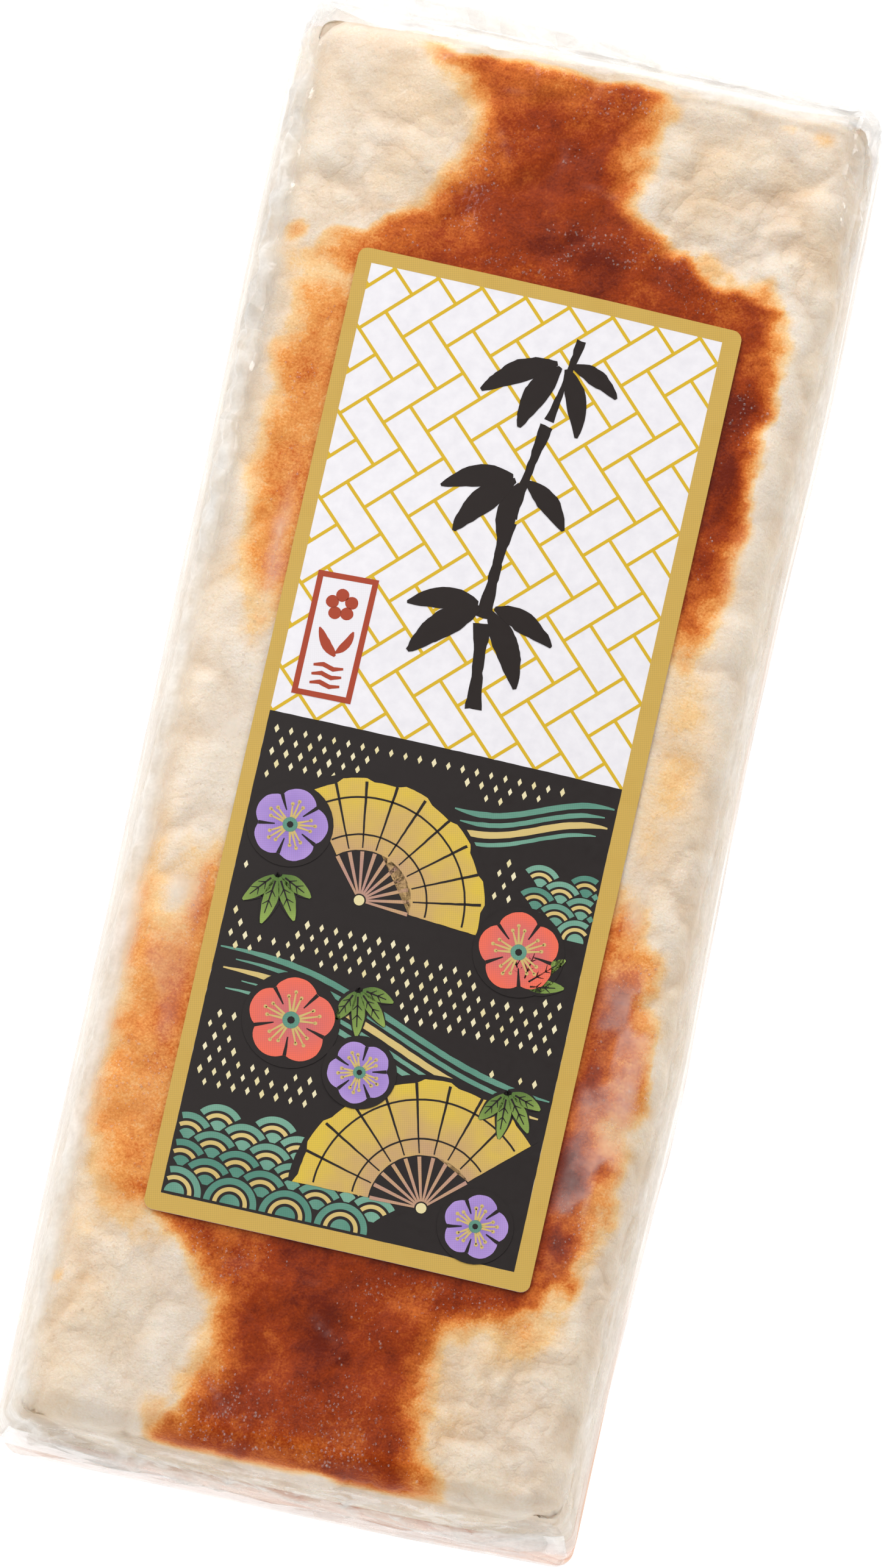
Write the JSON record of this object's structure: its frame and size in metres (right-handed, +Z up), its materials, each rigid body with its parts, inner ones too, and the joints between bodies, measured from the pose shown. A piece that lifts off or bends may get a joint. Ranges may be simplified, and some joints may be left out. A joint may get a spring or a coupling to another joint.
{
  "type": "fish cake bar on a board",
  "caption": "Grilled fish cake bar on its wooden board, wrapped tightly in clear film that is folded over both ends, with a printed paper label on top.",
  "frame": {"origin": "middle of the board's underside, where the pack rests", "axes": "+Y along the bar towards the end shown at the top of the picture, +X across it to the right, +Z up out of the labelled top"},
  "size_m": [0.0618, 0.153, 0.0281],
  "materials": {
    "board_wood": "planed softwood, pinkish end grain, bare",
    "fish_cake": "steamed fish paste with a moist, grilled, golden to red-brown skin",
    "clear_film": "thin clear wrapping film, glossy, slightly milky where it lies off the food",
    "label_paper": "smooth coated paper with a printed gold border, a pale upper and a black lower panel"
  },
  "bodies": {
    "root": {"board": "board_wood", "fish_cake": "fish_cake", "film": "clear_film", "label": "label_paper"}
  },
  "joints": []
}
